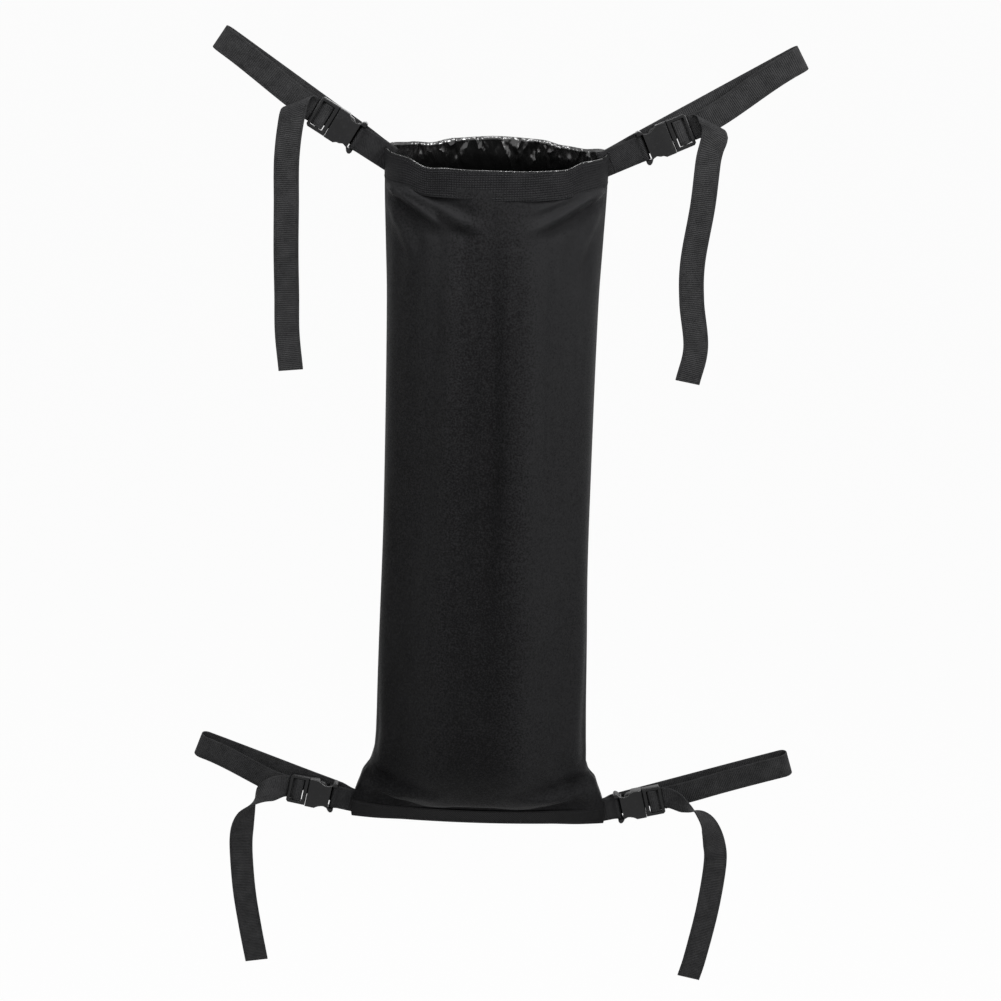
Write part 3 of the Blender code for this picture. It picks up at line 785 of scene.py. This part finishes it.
def hem_cloth():
    finish = Finish("hem_webbing", Specular_IOR_Level=0.07)
    along, across = finish.along_and_across()
    rib = along.wave(0.0021)
    course = (across + along * 0.05).wave(0.0024)
    uneven = finish.speckle(60, 4.0)
    fuzz = finish.speckle(620, 3.0, rough=0.7)
    height = rib * 0.45 + course * 0.40 + rib * course * 0.25
    share = 0.38 + height * 0.26 + (uneven - 0.5) * 0.9 + (fuzz - 0.5) * 1.3
    finish.shader_in("Base Color", finish.tint(share, (0.0045, 0.0045, 0.0050), (0.0200, 0.0200, 0.0210)))
    finish.shader_in("Roughness", 0.55 + uneven * 0.12)
    finish.raise_by(height + fuzz * 0.4, 0.0004)
    return finish.material


def moulded_plastic():
    finish = Finish("moulded_plastic", Specular_IOR_Level=0.26)
    grain = finish.speckle(1500, 2.0)
    flow = finish.speckle(70, 4.0)
    scuffs = finish.speckle(260, 5.0, rough=0.7).over(0.60, 0.05)
    share = flow * 0.7 + scuffs * 0.5
    finish.shader_in("Base Color", finish.tint(share, (0.0025, 0.0025, 0.0028), (0.0080, 0.0080, 0.0085)))
    finish.shader_in("Roughness", 0.27 + flow * 0.10 + scuffs * 0.12)
    finish.raise_by(grain * 0.7 + flow * 0.6, 0.00012)
    return finish.material


def sewing_thread():
    finish = Finish("sewing_thread", Specular_IOR_Level=0.14)
    twist = finish.speckle(1900, 2.0)
    finish.shader_in("Base Color", finish.tint(twist, (0.006, 0.006, 0.007), (0.022, 0.022, 0.023)))
    finish.shader_in("Roughness", 0.50 + twist * 0.2)
    finish.raise_by(twist, 0.0002)
    return finish.material


def pale_floor():
    """White to the camera and to reflections, but for a small share that keeps the shadow."""
    finish = Finish("pale_floor", Base_Color=(0.9, 0.9, 0.9, 1), Roughness=0.9)
    seen = sum(finish.add("ShaderNodeLightPath", output=name) for name in SEEN_BY)
    glow = finish.add("ShaderNodeEmission", values={"Color": (1, 1, 1, 1), "Strength": 1.0})
    plain = Wire(finish, finish.shader.outputs["BSDF"])
    mixed = finish.add("ShaderNodeMixShader", values={0: seen * FLOOR_GLOW, 1: plain, 2: glow})
    output = next(node for node in finish.tree.nodes if node.bl_idname == "ShaderNodeOutputMaterial")
    finish.tree.links.new(mixed.socket, output.inputs["Surface"])
    return finish.material


# ---------------------------------------------------------------- camera, floor and light

SEEN_BY = ("Is Camera Ray", "Is Glossy Ray", "Is Transmission Ray")
FLOOR_GLOW = 0.96
AIM = Vector((0.0142, 0.0, -0.361))
CAMERA_DISTANCE = 2.1
CAMERA_RISE = math.radians(17)
CAMERA_ROLL = math.radians(1.8)
CAMERA_LENS = 72.9
FLOOR_HEIGHT = -1.6
FLOOR_RADIUS = 45.0
ROOM_STRENGTH = 0.20


def stand_camera():
    """The camera before the bag, above its middle and turned a little about its view."""
    data = bpy.data.cameras.new("camera")
    data.lens = CAMERA_LENS
    camera = bpy.data.objects.new("camera", data)
    bpy.context.scene.collection.objects.link(camera)
    back = Vector((0, -math.cos(CAMERA_RISE), math.sin(CAMERA_RISE)))
    turned = (-back).to_track_quat("-Z", "Y").to_matrix() @ Matrix.Rotation(CAMERA_ROLL, 3, "Z")
    camera.matrix_world = Matrix.Translation(AIM + back * CAMERA_DISTANCE) @ turned.to_4x4()
    bpy.context.scene.camera = camera


def lay_floor():
    """A wide pale floor far below the bag, so that its edge isn't seen."""
    bpy.ops.object.select_all(action="DESELECT")
    spot = (0, 0, FLOOR_HEIGHT)
    bpy.ops.mesh.primitive_circle_add(vertices=96, radius=FLOOR_RADIUS, fill_type="NGON", location=spot)
    floor = bpy.context.object
    floor.name = "floor"
    bpy.ops.object.transform_apply(location=True)
    floor.data.materials.append(pale_floor())


def soft_box(name, place, aim, size, watts):
    data = bpy.data.lights.new(name, "AREA")
    data.shape = "RECTANGLE"
    data.size, data.size_y = size
    data.energy = watts
    lamp = bpy.data.objects.new(name, data)
    bpy.context.scene.collection.objects.link(lamp)
    turned = (Vector(aim) - Vector(place)).to_track_quat("-Z", "Y").to_matrix().to_4x4()
    lamp.matrix_world = Matrix.Translation(place) @ turned


def light_room():
    """Soft boxes on both sides, above and behind, in a dim room that looks white to the camera."""
    soft_box("key_left", (-1.40, -1.15, 0.95), (0, 0, -0.05), (0.5, 0.9), 17)
    soft_box("key_right", (1.35, -1.05, 0.95), (0, 0, -0.10), (0.5, 0.9), 42)
    soft_box("sparkle", (-0.30, -1.10, 1.25), (0, 0, -0.05), (0.5, 0.25), 9)
    soft_box("top", (0.0, -0.7, 1.4), (0, 0, -0.1), (0.9, 0.4), 14)
    soft_box("back", (0.3, 1.9, 0.6), (0, 0, -0.3), (1.4, 1.4), 8)
    world = bpy.data.worlds.new("room")
    world.use_nodes = True
    bpy.context.scene.world = world
    tree = world.node_tree
    tree.nodes.clear()
    path = tree.nodes.new("ShaderNodeLightPath")
    total = path.outputs[SEEN_BY[0]]
    for name in SEEN_BY[1:]:
        adder = tree.nodes.new("ShaderNodeMath")
        tree.links.new(total, adder.inputs[0])
        tree.links.new(path.outputs[name], adder.inputs[1])
        total = adder.outputs[0]
    backgrounds = []
    for strength in (ROOM_STRENGTH, 1.0):
        background = tree.nodes.new("ShaderNodeBackground")
        background.inputs["Color"].default_value = (1, 1, 1, 1)
        background.inputs["Strength"].default_value = strength
        backgrounds.append(background)
    room, white = backgrounds
    either = tree.nodes.new("ShaderNodeMixShader")
    output = tree.nodes.new("ShaderNodeOutputWorld")
    tree.links.new(total, either.inputs[0])
    tree.links.new(room.outputs[0], either.inputs[1])
    tree.links.new(white.outputs[0], either.inputs[2])
    tree.links.new(either.outputs[0], output.inputs["Surface"])
    bpy.context.scene.view_settings.view_transform = "Standard"


stand_camera()
lay_floor()
light_room()

TAB_PITCH = 0.0017
TAB_SLANT = 0.5
WEBBING = ribbed_webbing("ribbed_webbing", (0.0080, 0.0080, 0.0085), (0.0400, 0.0400, 0.0410))
TAB_WEBBING = ribbed_webbing(
    "tab_webbing", (0.0060, 0.0060, 0.0065), (0.0260, 0.0260, 0.0270), TAB_PITCH, TAB_SLANT
)
DARK_WEBBING = ribbed_webbing(
    "dark_webbing", (0.0040, 0.0040, 0.0044), (0.0150, 0.0150, 0.0156), TAB_PITCH, TAB_SLANT
)
PLASTIC = moulded_plastic()
CLOTH = coated_cloth()
LINING = glossy_lining()
HEM = hem_cloth()
THREAD = sewing_thread()

# ---------------------------------------------------------------- tails and loop straps


def hang_tail(name, corner):
    """The free end of a strap, from the ladder down."""
    points, rows = tail_run(corner)
    tail = ribbon(name + "_tail_webbing", points, rows, WEBBING)
    length = sum((b - a).length for a, b in zip(points, points[1:]))
    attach(tail, name + "_plug")
    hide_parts(name + "_tail")
    tuple(points[0])
    [tuple(point) for point in points]


def loop_strap(name, corner):
    """The strap from the seam, behind the buckle, round the loop's end and into the ladder."""
    back, back_rows, start, outward, _ = back_run(corner)
    front, front_rows = front_run(corner)
    points, rows = smooth_line(back + front[1:], back_rows + front_rows[1:], 3)
    strap = ribbon(name + "_loop_webbing", points, rows, WEBBING)
    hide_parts(name + "_strap_back", name + "_strap_front")
    # Two points on a line through the strap's start that leans a little outward and mostly to the front
    lean = (outward * 0.00175 + FRONT * 0.0138).normalized()
    tuple(start - lean * 0.0019)
    tuple(start + lean * 0.0076)
    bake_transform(strap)


for name, corner in CORNERS.items():
    hang_tail(name, corner)
    loop_strap(name, corner)

# ---------------------------------------------------------------- tabs and buckles

FLAT = math.radians(1.0)
SHARP = math.radians(32)
SOCKET_EDGE = 0.00055
PLUG_EDGE = 0.00045


def moulded_copy(node, width):
    """A node's own mesh with its loose triangles merged and its edges rounded."""
    mesh = bpy.data.objects[node].data.copy()
    mesh.name = node + "_moulding"
    piece = bpy.data.objects.new(node + "_moulding", mesh)
    bpy.context.scene.collection.objects.link(piece)
    shape = bmesh.new()
    shape.from_mesh(mesh)
    bmesh.ops.remove_doubles(shape, verts=shape.verts, dist=MERGE)
    bmesh.ops.dissolve_limit(shape, angle_limit=FLAT, verts=shape.verts, edges=shape.edges)
    shape.to_mesh(mesh)
    shape.free()
    mesh.materials.clear()
    mesh.materials.append(PLASTIC)
    add_modifier(piece, "BEVEL", width=width, segments=3, limit_method="ANGLE", angle_limit=SHARP)
    apply_modifiers(piece)
    only(piece)
    bpy.ops.object.shade_smooth_by_angle(angle=math.radians(40))
    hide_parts(node)
    return piece


for name, corner in CORNERS.items():
    points, rows = tab_run(corner)
    tab = ribbon(name + "_tab_webbing", points, rows, TAB_WEBBING, WEB * 0.95)
    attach(tab, "bag")
    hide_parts(name + "_tab")
    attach(moulded_copy(name + "_socket", SOCKET_EDGE), "bag")
    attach(moulded_copy(name + "_plug", PLUG_EDGE), name + "_plug")
    for label in ("_prong_a", "_prong_b"):
        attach(moulded_copy(name + label, PLUG_EDGE), name + label)

# ---------------------------------------------------------------- bag

BAG_COLUMNS = 96
BAG_ROWS = 120
AROUND = 0.56
SETTLE_FRAMES = 20
SETTLE_LIMIT = 0.008
CORNER_HOLD = 0.045
BAND_STAND = FABRIC / 2 + 0.00015 + HEM_THICK / 2
BEAD_RADIUS = 0.00065
BEAD_POINTS = 160


def tube_point(across, down):
    """A point of the bag's cloth: across 0 to 0.5 is the front from left to right, and the rest the back."""
    front = across <= 0.5
    turn = across * 2 if front else 2 - across * 2
    place = panel_point(turn, down, -1 if front else 1)
    if turn < 0.0001 or turn > 0.9999 or down > 0.9999:
        place.y = 0.0
    return place


def settle(piece, pins):
    """Let the cloth hang between its sewn ends, with no point moved more than the limit."""
    before = [vertex.co.copy() for vertex in piece.data.vertices]
    cloth = piece.modifiers.new("hanging", "CLOTH")
    settings = cloth.settings
    settings.vertex_group_mass = pins
    settings.quality = 6
    settings.mass = 0.2
    settings.tension_stiffness = settings.compression_stiffness = 12
    settings.shear_stiffness = 4
    settings.bending_stiffness = 0.35
    settings.shrink_min = -0.012
    settings.use_pressure = True
    settings.uniform_pressure_force = 0.25
    settings.effector_weights.gravity = 0.5
    cloth.point_cache.frame_end = SETTLE_FRAMES
    scene = bpy.context.scene
    for step in range(1, SETTLE_FRAMES + 1):
        scene.frame_set(step)
    only(piece)
    bpy.ops.object.modifier_apply(modifier=cloth.name)
    scene.frame_set(1)
    for vertex, start in zip(piece.data.vertices, before):
        move = vertex.co - start
        if move.length > SETTLE_LIMIT:
            vertex.co = start + move.normalized() * SETTLE_LIMIT


def sewn_hold(down):
    """1 where the hem and the bottom webbing hold the cloth, and 0 between them."""
    top = 1 - smooth((down * BAG_HEIGHT - MOUTH_BAND - 0.002) / 0.012)
    bottom = 1 - smooth(((1 - down) * BAG_HEIGHT - BOTTOM_BAND - 0.004) / 0.014)
    return max(top, bottom)


def make_bag():
    """The bag's cloth as one tube, hung, folded and given its thickness, with its lining inside."""
    piece = woven_sheet(
        "bag_cloth",
        BAG_COLUMNS,
        BAG_ROWS,
        lambda across, down: tube_point(across, 1 - down),
        lambda across, down: (across * AROUND, down * BAG_HEIGHT),
        [CLOTH, LINING],
    )
    pins = piece.vertex_groups.new(name="sewn")
    for vertex in piece.data.vertices:
        down = -vertex.co.z / BAG_HEIGHT
        side_seam = 1 - smooth(abs(abs(vertex.co.x) / outline_at(min(max(down, 0), 1))[0] - 1) / 0.01)
        corner_near = 1 - smooth((min(down, 1 - down) * BAG_HEIGHT - CORNER_HOLD) / 0.03)
        hold = max(sewn_hold(down), side_seam * corner_near)
        if hold > 0:
            pins.add([vertex.index], hold, "REPLACE")
    shape = bmesh.new()
    shape.from_mesh(piece.data)
    bmesh.ops.remove_doubles(shape, verts=shape.verts, dist=MERGE)
    bmesh.ops.recalc_face_normals(shape, faces=shape.faces)
    shape.to_mesh(piece.data)
    shape.free()
    settle(piece, "sewn")
    add_modifier(piece, "SUBSURF", levels=1, render_levels=1)
    apply_modifiers(piece)
    normals = [vertex.normal.copy() for vertex in piece.data.vertices]
    outward = sum(n.dot(Vector((v.co.x, v.co.y, 0))) for n, v in zip(normals, piece.data.vertices))
    sign = 1 if outward > 0 else -1
    if sign < 0:
        piece.data.flip_normals()
    for vertex, normal in zip(piece.data.vertices, normals):
        vertex.co += normal * sign * fold_height(vertex.co, -1 if vertex.co.y < 0 else 1)
    add_modifier(piece, "SOLIDIFY", thickness=FABRIC, offset=0, material_offset=1, material_offset_rim=0)
    apply_modifiers(piece)
    piece.data.shade_smooth()
    return piece


def panel_normal(turn, share, side):
    """The way out of the plain bag at one of its points."""
    before, after = max(turn - 0.01, 0.0), min(turn + 0.01, 1.0)
    low, high = max(share - 0.01, 0.0), min(share + 0.01, 1.0)
    around = panel_point(after, share, side) - panel_point(before, share, side)
    down = panel_point(turn, high, side) - panel_point(turn, low, side)
    normal = around.cross(down).normalized()
    return normal if normal.y * side > 0 else -normal


def flat_band(name, columns, rows, place, lay, finish):
    """A thin sewn band with soft edges, its outer face flush with the cloth beside it."""
    band = woven_sheet(name, columns, rows, place, lay, [finish])
    add_modifier(band, "SOLIDIFY", thickness=HEM_THICK, offset=0)
    add_modifier(band, "BEVEL", width=0.0003, segments=2, limit_method="ANGLE", angle_limit=1.0)
    apply_modifiers(band)
    band.data.shade_smooth()
    return band


def make_hem(name, side):
    """The mouth's band, sewn round the outside from the rim down."""

    def place(across, up):
        share = MOUTH_BAND / BAG_HEIGHT * (1 - up)
        return panel_point(across, share, side) + panel_normal(across, share, side) * BAND_STAND

    def lay(across, up):
        return (across * AROUND / 2, MOUTH_BAND * (1 - up))

    return flat_band(name, 110, 12, place, lay, HEM)


def make_rim_bead():
    """The rolled edge of the lining, which shows as a thin line along the rim."""
    line = bpy.data.curves.new("rim_bead", "CURVE")
    line.dimensions = "3D"
    line.bevel_depth = BEAD_RADIUS
    line.bevel_resolution = 2
    spline = line.splines.new("POLY")
    spots = [tube_point(index / BEAD_POINTS, 0.0) for index in range(BEAD_POINTS)]
    spline.points.add(len(spots) - 1)
    for point, spot in zip(spline.points, spots):
        point.co = (*spot, 1)
    spline.use_cyclic_u = True
    drawn = bpy.data.objects.new("rim_curve", line)
    bpy.context.scene.collection.objects.link(drawn)
    mesh = bpy.data.meshes.new_from_object(drawn.evaluated_get(bpy.context.evaluated_depsgraph_get()))
    bpy.data.objects.remove(drawn)
    mesh.materials.clear()
    mesh.materials.append(LINING)
    mesh.shade_smooth()
    bead = bpy.data.objects.new("rim_bead", mesh)
    bpy.context.scene.collection.objects.link(bead)
    return bead


def make_bottom_band():
    """The webbing along the bottom seam, on the front."""

    def place(across, up):
        share = 1 - BOTTOM_BAND / BAG_HEIGHT * up
        return panel_point(across, share, -1) + panel_normal(across, share, -1) * BAND_STAND

    def lay(across, up):
        return (across * FLAT_HALF * 2, 0.0025 + up * BOTTOM_BAND)

    return flat_band("bottom_webbing", 130, 8, place, lay, DARK_WEBBING)


# ---------------------------------------------------------------- stitching

THREAD_RADIUS = 0.00034
THREAD_SIDES = 6
# A stitch from end to end: share of its length, share of its radius, and how far it is lifted, in radii
STITCH = ((0.0, 0.30, -0.6), (0.18, 0.9, 0.1), (0.5, 1.0, 0.45), (0.82, 0.9, 0.1), (1.0, 0.30, -0.6))
ROW_MARGIN = 0.012
HEM_STITCHES = 84
BOTTOM_STITCHES = 78
TACK_WIDTH = 0.021
TACK_STITCHES = 17
TACK_LEAN = 0.0011
TACK_FROM_TAB_END = 0.0045
TACK_STAND = WEB + 0.00004


def stitches(name, places):
    """Short raised threads, each from one point to another on a surface with the given normal."""
    shape = bmesh.new()
    for start, end, normal in places:
        along = (end - start).normalized()
        side = normal.cross(along).normalized()
        rings = []
        for share, size, lift in STITCH:
            centre = start.lerp(end, share) + normal * THREAD_RADIUS * lift
            ring = []
            for step in range(THREAD_SIDES):
                angle = 2 * math.pi * step / THREAD_SIDES
                offset = side * math.cos(angle) + normal * math.sin(angle)
                ring.append(shape.verts.new(centre + offset * THREAD_RADIUS * size))
            rings.append(ring)
        for low, high in zip(rings, rings[1:]):
            for step in range(THREAD_SIDES):
                nearby = (step + 1) % THREAD_SIDES
                shape.faces.new((low[step], low[nearby], high[nearby], high[step]))
        shape.faces.new(rings[0][::-1])
        shape.faces.new(rings[-1])
    bmesh.ops.recalc_face_normals(shape, faces=shape.faces)
    mesh = bpy.data.meshes.new(name)
    shape.to_mesh(mesh)
    shape.free()
    mesh.materials.append(THREAD)
    mesh.shade_smooth()
    piece = bpy.data.objects.new(name, mesh)
    bpy.context.scene.collection.objects.link(piece)
    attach(piece, "bag")
    return piece


def band_row(drop, side, stand, count):
    """One row of lockstitch along a band, at one height."""
    share = drop / BAG_HEIGHT
    places = []
    for index in range(count):
        near, far = (index + 0.14) / count, (index + 0.86) / count
        spots = []
        for turn in (near, far):
            turn = ROW_MARGIN + (1 - 2 * ROW_MARGIN) * turn
            spots.append(panel_point(turn, share, side) + panel_normal(turn, share, side) * stand)
        places.append((spots[0], spots[1], panel_normal(near, share, side)))
    return places


def bar_tack(corner, along, face):
    """A close zigzag across a tab, on its front or its back."""
    place, _ = buckle_frame(corner)
    normal = FRONT * face
    places = []
    step = TACK_WIDTH / TACK_STITCHES
    for index in range(TACK_STITCHES):
        near = step * index - TACK_WIDTH / 2
        far = near + step
        lean = TACK_LEAN if index % 2 else -TACK_LEAN
        start = place @ Vector((-along - lean, near, face * TACK_STAND))
        end = place @ Vector((-along + lean, far, face * TACK_STAND))
        places.append((start, end, normal))
    return places


bag = make_bag()
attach(bag, "bag")
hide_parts("front_panel", "back_panel")

for side, word in ((-1, "front"), (1, "back")):
    hem = make_hem("hem_" + word, side)
    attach(hem, "bag")
    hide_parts("mouth_band_" + word)

bottom = make_bottom_band()
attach(bottom, "bag")
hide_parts("bottom_band")

bead = make_rim_bead()
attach(bead, "bag")

band_face = BAND_STAND + HEM_THICK / 2 + 0.00002
rows_of_hem = []
for side in (-1, 1):
    for drop in (0.0030, 0.0272):
        rows_of_hem += band_row(drop, side, band_face, HEM_STITCHES)
hem_thread = stitches("hem_stitches", rows_of_hem)
rows_of_bottom = []
for rise in (0.0175, 0.0030):
    rows_of_bottom += band_row(BAG_HEIGHT - rise, -1, band_face, BOTTOM_STITCHES)
bottom_thread = stitches("bottom_stitches", rows_of_bottom)
for name, corner in CORNERS.items():
    along = corner["tab"] - TACK_FROM_TAB_END
    marks = bar_tack(corner, along, 1) + bar_tack(corner, along, -1)
    stitches(name + "_tack", marks)
